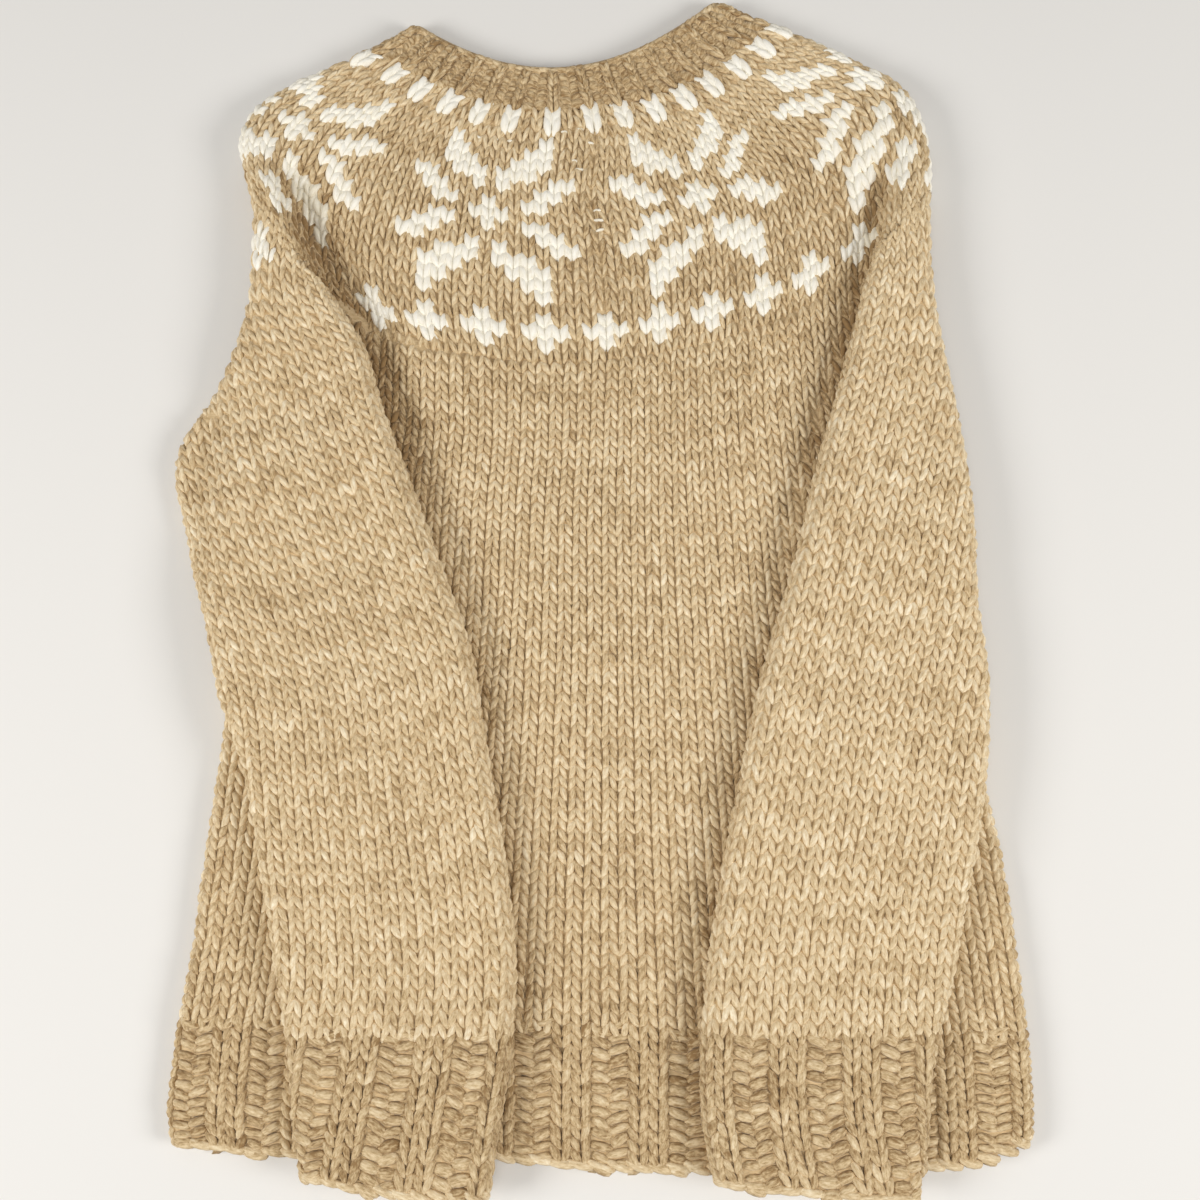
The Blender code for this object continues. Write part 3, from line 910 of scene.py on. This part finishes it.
def make_neckband(knit):
    m, r = grid_of(np.arange(-NECK_HALF, NECK_HALF), np.arange(YOKE_TOP, NECK_TOP - 0.2))
    kind = np.mod(m, 3)
    sets = torso_sets(knit, m * NECK_COLUMN, r)
    c, wavy_r = wavy(m * NECK_COLUMN, r, 3)
    edge = np.arange(-NECK_HALF, NECK_HALF) * NECK_COLUMN
    edge_top = knit.seen(edge, NECK_TOP - 0.3)[2] > UNDERSIDE
    for (end, form), part, on_edge in zip(SIDES, sets, (edge_top, ~edge_top)):
        yarn = Yarn(knit, 3)
        here = part & (kind == 0) & (r < NECK_TOP - 1)
        knit_legs(yarn, c[here], wavy_r[here], 0.85 * NECK_COLUMN, NECK_SHADE, NECK_LEGS, -0.2)
        here = part & (kind > 0) & (r < NECK_TOP - 0.9)
        right = kind[here] == 2
        purl_bumps(yarn, c[here], wavy_r[here], right, 0.85, NECK_SHADE + 0.18, 1.55, 1.5, 0.5)
        # the cast-off cord, which faces up to the lamps, takes the neckband's painted shade as well
        edge_cord(yarn, edge[on_edge], NECK_TOP - 0.5, 1.15, 2.5, 1.5, -1.5, NECK_SHADE)
        yarn.mesh("neckband" + end, form)


def make_body():
    knit = torso_knit(HEM_TOP - 1, YOKE_FOOT)
    tube_of_cloth("body_cloth", body_round, HEM_TOP, YOKE_FOOT, 50, BODY_UNDER)
    c, r = grid_of(np.arange(-BODY_HALF, BODY_HALF), np.arange(HEM_TOP, YOKE_FOOT - 0.5))
    top, under = torso_sets(knit, c, r)
    c, r = wavy(c, r, 2)
    # painted shade: the stitches are darker towards the hem and the yoke, on top of the painted shadow
    # beside the sleeves' folds
    y = knit.seen(c, r)[1]
    shade = painted_fold_shadow(knit, c, r) - 0.12 * ease((-120 - y) / 60) - 0.12 * ease((y - 70) / 70)
    upper = r > -42
    for end, part, form in (
        ("upper", top & upper, FULL_GRAIN),
        ("lower", top & ~upper, FULL_GRAIN),
        ("under", under, PLAIN_GRAIN),
    ):
        yarn = Yarn(knit, 2)
        knit_legs(yarn, c[part], r[part], 1, shade[part])
        yarn.mesh("body_stitches_" + end, form)


def rib(yarn, columns, purl, right, foot, count, chosen):
    """Ribbing that is count rows tall: knit columns, and pairs of purl columns. Right is true
    for the right one of each pair; chosen picks the stitches that are made."""
    for kind, first, tall in ((~purl, foot + 0.85, count), (purl, foot + 0.2, count + 1)):
        c, r = grid_of(columns[kind], first + np.arange(tall))
        part = chosen(c, r)
        # painted shade of the ribs, with the painted shadow beside the sleeves' folds
        shade = RIB_SHADE + painted_fold_shadow(yarn.knit, c[part], r[part])
        c, r = wavy(c[part], r[part], yarn.seed)
        if kind is purl:
            purl_bumps(yarn, c, r, np.tile(right[kind], tall)[part], 1.3, shade)
        else:
            knit_legs(yarn, c, r, 1.04, shade, RIB_LEGS, -0.9)


def hem_is_purl(c):
    """Two knit and two purl columns, out of step by two on the left."""
    return np.mod(np.where(c < -10, c + 2, c), 4) < 2


def make_hem():
    knit = torso_knit(HEM_FOOT - 0.5, HEM_TOP)
    tube_of_cloth("hem_cloth", hem_round, HEM_FOOT, HEM_TOP, 7, RIB_UNDER)
    columns = np.arange(-BODY_HALF, BODY_HALF)
    purl = hem_is_purl(columns)
    right = purl & ~hem_is_purl(columns + 1)
    edge_top = knit.seen(columns, HEM_FOOT)[2] > UNDERSIDE
    for k, (end, form) in enumerate(SIDES):
        yarn = Yarn(knit, 5)
        rib(yarn, columns, purl, right, HEM_FOOT, HEM_ROWS, lambda c, r: torso_sets(knit, c, r)[k])
        edge_cord(yarn, columns[(edge_top, ~edge_top)[k]], HEM_FOOT + 0.3)
        yarn.mesh("hem_stitches" + end, form)


def make_sleeve(name, table, inner_left):
    outward, seed, row, top_row = (1, 7, RIGHT_ROW, 2) if inner_left else (-1, 8, LEFT_ROW, 1)
    count = round(table[-1, 0] / row)
    knit = sleeve_knit(table, inner_left, count, SLEEVE_PITCH_TOP, SLEEVE_PITCH_LOW)
    tube_of_cloth(name + "_cloth", partial(sleeve_round, table), 0, table[-1, 0], 30, SLEEVE_UNDER)
    # a row or two more than the sleeve has are tucked in at its upper end
    c, r = grid_of(outward * (np.arange(-2, 20) + 0.5), np.arange(0.5 - count, top_row))
    top, under = sleeve_sets(knit, c, r, inner_left)
    top &= (r < 0) | inner_left | (np.abs(c) > 3)
    wavy_c, wavy_r = wavy(c, r, seed)
    if not inner_left:
        slid = np.abs(c - SLID_CROSS[0]) + np.abs(r - SLID_CROSS[1]) < 1.1
        yarn = Yarn(knit, seed, CREAM_GROOVE_PAINTED_SHADE)
        knit_legs(yarn, wavy_c[slid], wavy_r[slid], 1, 0, CREAM_LEGS, CREAM_LIFT)
        yarn.mesh(name + "_cream")
        top &= ~slid
    # painted shade: the legs that turn under the inner fold are darker; the right sleeve's stitches are
    # drawn a touch lighter than the left's
    shade = (0.05 if inner_left else -0.02) - 0.4 * (outward * c < 0)
    for end, part, form in (("", top, FULL_GRAIN), ("_under", under, PLAIN_GRAIN)):
        yarn = Yarn(knit, seed)
        knit_legs(yarn, wavy_c[part], wavy_r[part], 1, shade[part], SLEEVE_LEGS)
        yarn.mesh(name + "_stitches" + end, form)


def make_cuff(name, table, inner_left):
    knit = sleeve_knit(table, inner_left, CUFF_ROWS, CUFF_PITCH, CUFF_PITCH)
    tube_of_cloth(name + "_cloth", partial(sleeve_round, table), 0, table[-1, 0], 7, RIB_UNDER)
    counts = np.arange(-1, 16)
    columns, right = (counts - 0.35, 0) if inner_left else (-counts - 0.1, 2)
    purl = np.isin(np.mod(counts, 4), (right, 3))

    def chosen(c, r):
        return sleeve_sets(knit, c, r, inner_left)[0]

    yarn = Yarn(knit, 9)
    rib(yarn, columns, purl, np.mod(counts, 4) == right, -CUFF_ROWS, CUFF_ROWS, chosen)
    edge_cord(yarn, columns[chosen(columns, 0.15 - CUFF_ROWS)], 0.3 - CUFF_ROWS)
    yarn.mesh(name + "_stitches")


yoke = yoke_knit()
tube_of_cloth("yoke_cloth", tucked_yoke_round, YOKE_FOOT - 1.3, YOKE_TOP, 42, YOKE_UNDER, 1)
tube_of_cloth("neckband_cloth", yoke_round, YOKE_TOP, NECK_TOP, 8, NECK_UNDER, 1)
make_yoke(yoke)
make_neckband(yoke)
make_body()
make_hem()
for side, arm, inner_left in (("left", LEFT_ARM, False), ("right", RIGHT_ARM, True)):
    make_sleeve("sleeve_" + side, with_lengths(arm[: CUFF_TOP + 1]), inner_left)
    make_cuff("cuff_" + side, with_lengths(arm[CUFF_TOP:]), inner_left)

# ---- materials


def set_inputs(tree, node, inputs):
    """Each input of a shader node gets a number, a colour or another node's output."""
    for key, value in inputs.items():
        if isinstance(value, bpy.types.NodeSocket):
            tree.links.new(value, node.inputs[key])
        else:
            node.inputs[key].default_value = value


def add_node(tree, kind, inputs=None, **settings):
    """Adds a shader node and returns its outputs."""
    node = tree.nodes.new("ShaderNode" + kind)
    for key, value in settings.items():
        setattr(node, key, value)
    set_inputs(tree, node, inputs or {})
    return node.outputs


def math_node(tree, kind, a, b):
    return add_node(tree, "Math", {0: a, 1: b}, operation=kind)[0]


def wool(name, *stops, backing=False):
    """Wool with fibres along the yarn, a heather of tones between legs and a dull nap. Each of
    the stops is a place and a colour. The cloth behind the stitches, the backing, has the same
    fibres in its own space, in metres."""
    material = bpy.data.materials.new(name)
    material.use_nodes = True
    tree = material.node_tree
    if backing:
        source, size = add_node(tree, "TexCoord")["Object"], 1 / MM
    else:
        source, size = add_node(tree, "Attribute", attribute_name="yarn")["Vector"], 1

    def streaks(along, across, twist, detail, rough):
        scale = (along * size, across * size, across * size)
        turn = (0, 0, twist)
        stretch = add_node(tree, "Mapping", {"Vector": source, "Scale": scale, "Rotation": turn})
        grain = {"Vector": stretch["Vector"], "Scale": 1, "Detail": detail, "Roughness": rough}
        return add_node(tree, "TexNoise", grain)["Fac"]

    fibres = streaks(0.28, 0.9, 0.3, 3, 0.6)
    patches = streaks(0.2, 0.35, 0, 2, 0.5)
    value = math_node(tree, "MULTIPLY", fibres, 1.45)
    value = math_node(tree, "ADD", value, math_node(tree, "MULTIPLY", patches, 0.5))
    value = math_node(tree, "SUBTRACT", value, 0.5)
    if not backing:
        tone = add_node(tree, "Attribute", attribute_name="tone")["Fac"]
        value = math_node(tree, "ADD", value, math_node(tree, "MULTIPLY", tone, 0.55))
        value = math_node(tree, "SUBTRACT", value, 0.28)
    ramp = tree.nodes.new("ShaderNodeValToRGB")
    elements = ramp.color_ramp.elements
    elements[0].position, elements[1].position = stops[0][0], stops[-1][0]
    for place, _ in stops[1:-1]:
        elements.new(place)
    for element, (_, colour) in zip(elements, stops):
        element.color = (*colour, 1)
    set_inputs(tree, ramp, {"Fac": value})
    bump = add_node(tree, "Bump", {"Strength": 0.55, "Distance": 0.0005, "Height": fibres})
    looks = {
        "Base Color": ramp.outputs["Color"],
        "Normal": bump["Normal"],
        "Roughness": 0.92,
        "Specular IOR Level": 0.18,
        "Sheen Weight": 0.22,
        "Sheen Roughness": 0.55,
        "Sheen Tint": (1, 0.93, 0.8, 1),
    }
    set_inputs(tree, tree.nodes["Principled BSDF"], looks)
    return material


CAMEL = wool(
    "camel_wool",
    (0, (0.3, 0.185, 0.08)),
    (0.3, (0.58, 0.43, 0.24)),
    (0.6, (0.76, 0.61, 0.39)),
    (1, (0.95, 0.85, 0.65)),
)
CREAM = wool(
    "cream_wool",
    (0, (0.8, 0.74, 0.6)),
    (0.35, (0.93, 0.89, 0.78)),
    (0.75, (0.97, 0.945, 0.865)),
)
BACKING = wool("camel_backing", (0.2, (0.5, 0.35, 0.18)), (0.8, (0.74, 0.57, 0.34)), backing=True)

for thing in pieces:
    if thing.name.endswith("_cloth"):
        material = BACKING
    else:
        material = CREAM if "cream" in thing.name else CAMEL
    thing.data.materials.append(material)
    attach(thing, "root")

# ---- floor

PALE = (0.84, 0.825, 0.8, 1)
FLOOR_HALF = 4

floor_mesh = bpy.data.meshes.new("floor")
corners = [(FLOOR_HALF * a, FLOOR_HALF * b, 0) for a, b in ((-1, -1), (1, -1), (1, 1), (-1, 1))]
floor_mesh.from_pydata(corners, [], [(0, 1, 2, 3)])
floor = add_object("floor", floor_mesh)
paper = bpy.data.materials.new("floor_paper")
paper.use_nodes = True
tree = paper.node_tree
shader = tree.nodes["Principled BSDF"]
set_inputs(tree, shader, {"Base Color": (0.8, 0.79, 0.77, 1), "Roughness": 0.9})
# Well away from the sweater the paper fades into the pale backdrop, for the eye alone.
place = add_node(tree, "NewGeometry")["Position"]
away = add_node(tree, "VectorMath", {0: place}, operation="LENGTH")["Value"]
reach = {"Value": away, "From Min": 0.6, "From Max": 1.5}
fade = add_node(tree, "MapRange", reach, interpolation_type="SMOOTHSTEP")["Result"]
for_eye = math_node(tree, "MULTIPLY", fade, add_node(tree, "LightPath")["Is Camera Ray"])
glow = add_node(tree, "Emission", {"Color": PALE})["Emission"]
blend = add_node(tree, "MixShader", {0: for_eye, 1: shader.outputs["BSDF"], 2: glow})
set_inputs(tree, tree.nodes["Material Output"], {"Surface": blend["Shader"]})
floor_mesh.materials.append(paper)

# ---- the solid parts, hidden under the knitted pieces

# node: whole way round and length laid flat, in metres, how it is held and what it lies on
SHEETS = {
    "yoke": (0.80, 0.18, "laid", "floor"),
    "neckband": (0.43, 0.03, "laid", "floor"),
    "body": (0.82, 0.38, "laid", "floor"),
    "hem_rib": (0.89, 0.066, "laid", "floor"),
    "sleeve_left": (0.26, 0.46, "folded", "body"),
    "cuff_left": (0.23, 0.074, "folded", "body"),
    "sleeve_right": (0.24, 0.45, "folded", "body"),
    "cuff_right": (0.23, 0.074, "folded", "body"),
}
for node, (width, length, held, under) in SHEETS.items():
    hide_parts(node)

# ---- light and camera

world = bpy.data.worlds.new("studio")
bpy.context.scene.world = world
world.use_nodes = True
tree = world.node_tree
light = tree.nodes["Background"]
set_inputs(tree, light, {"Color": (1, 0.985, 0.96, 1), "Strength": 0.3})
backdrop = add_node(tree, "Background", {"Color": PALE})["Background"]
camera_ray = add_node(tree, "LightPath")["Is Camera Ray"]
blend = add_node(tree, "MixShader", {0: camera_ray, 1: light.outputs["Background"], 2: backdrop})
set_inputs(tree, tree.nodes["World Output"], {"Surface": blend["Shader"]})

# round lamps that shine on the middle of the floor: name, place, size, power
for name, place, size, power in (
    ("overhead", (-0.1, -0.5, 1.75), 0.9, 6.5),
    ("left_soft", (-1.5, -0.5, 1.1), 0.8, 18.5),
    ("right_soft", (1.5, -0.5, 1.1), 0.8, 18.5),
):
    light = bpy.data.lights.new(name, "AREA")
    light.shape = "DISK"
    light.size = size
    light.energy = power
    light.color = (1, 0.98, 0.95)
    lamp = add_object(name, light)
    lamp.location = place
    tilt = math.acos(place[2] / np.linalg.norm(place))
    lamp.rotation_euler = (tilt, 0, math.atan2(-place[1], -place[0]) - 0.5 * math.pi)

TARGET = (SHIFT[0] * MM, SHIFT[1] * MM, 0.02)
CAMERA_AWAY = 0.77
CAMERA_TILT = math.radians(8.5)
VIEW_HALF_ANGLE = math.radians(23)
camera_data = bpy.data.cameras.new("camera")
camera_data.sensor_width = 36
camera_data.lens = 18 / math.tan(VIEW_HALF_ANGLE)
camera = add_object("camera", camera_data)
back, high = CAMERA_AWAY * math.sin(CAMERA_TILT), CAMERA_AWAY * math.cos(CAMERA_TILT)
camera.location = (TARGET[0], TARGET[1] - back, TARGET[2] + high)
camera.rotation_euler = (CAMERA_TILT, 0, 0)
bpy.context.scene.camera = camera
bpy.context.scene.view_settings.view_transform = "Standard"
